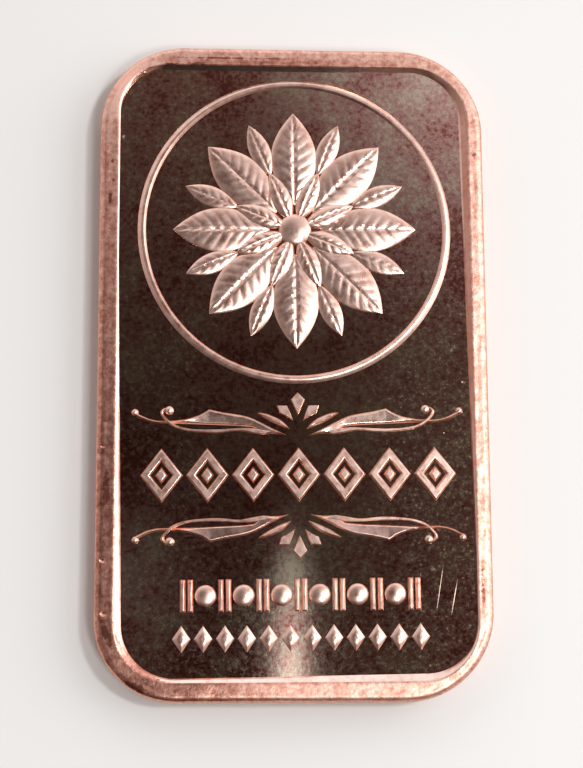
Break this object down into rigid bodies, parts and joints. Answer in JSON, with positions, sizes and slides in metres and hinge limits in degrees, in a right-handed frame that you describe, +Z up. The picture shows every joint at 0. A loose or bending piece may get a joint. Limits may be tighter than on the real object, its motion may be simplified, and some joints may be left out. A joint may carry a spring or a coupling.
{
  "type": "copper ingot",
  "caption": "Flat copper bar with round corners and a raised rim, struck in low relief with a ringed leaf rosette, scroll flourishes, lozenges and beads.",
  "frame": {"origin": "middle of the underside, where the back rim rests", "axes": "+X across the bar, +Y along it towards the ring, +Z up out of the struck face"},
  "size_m": [0.0294, 0.05, 0.0028],
  "materials": {
    "copper": "struck copper, polished field, satin relief and rim, slightly toned"
  },
  "bodies": {
    "root": {"copper_bar": "copper"}
  },
  "joints": []
}
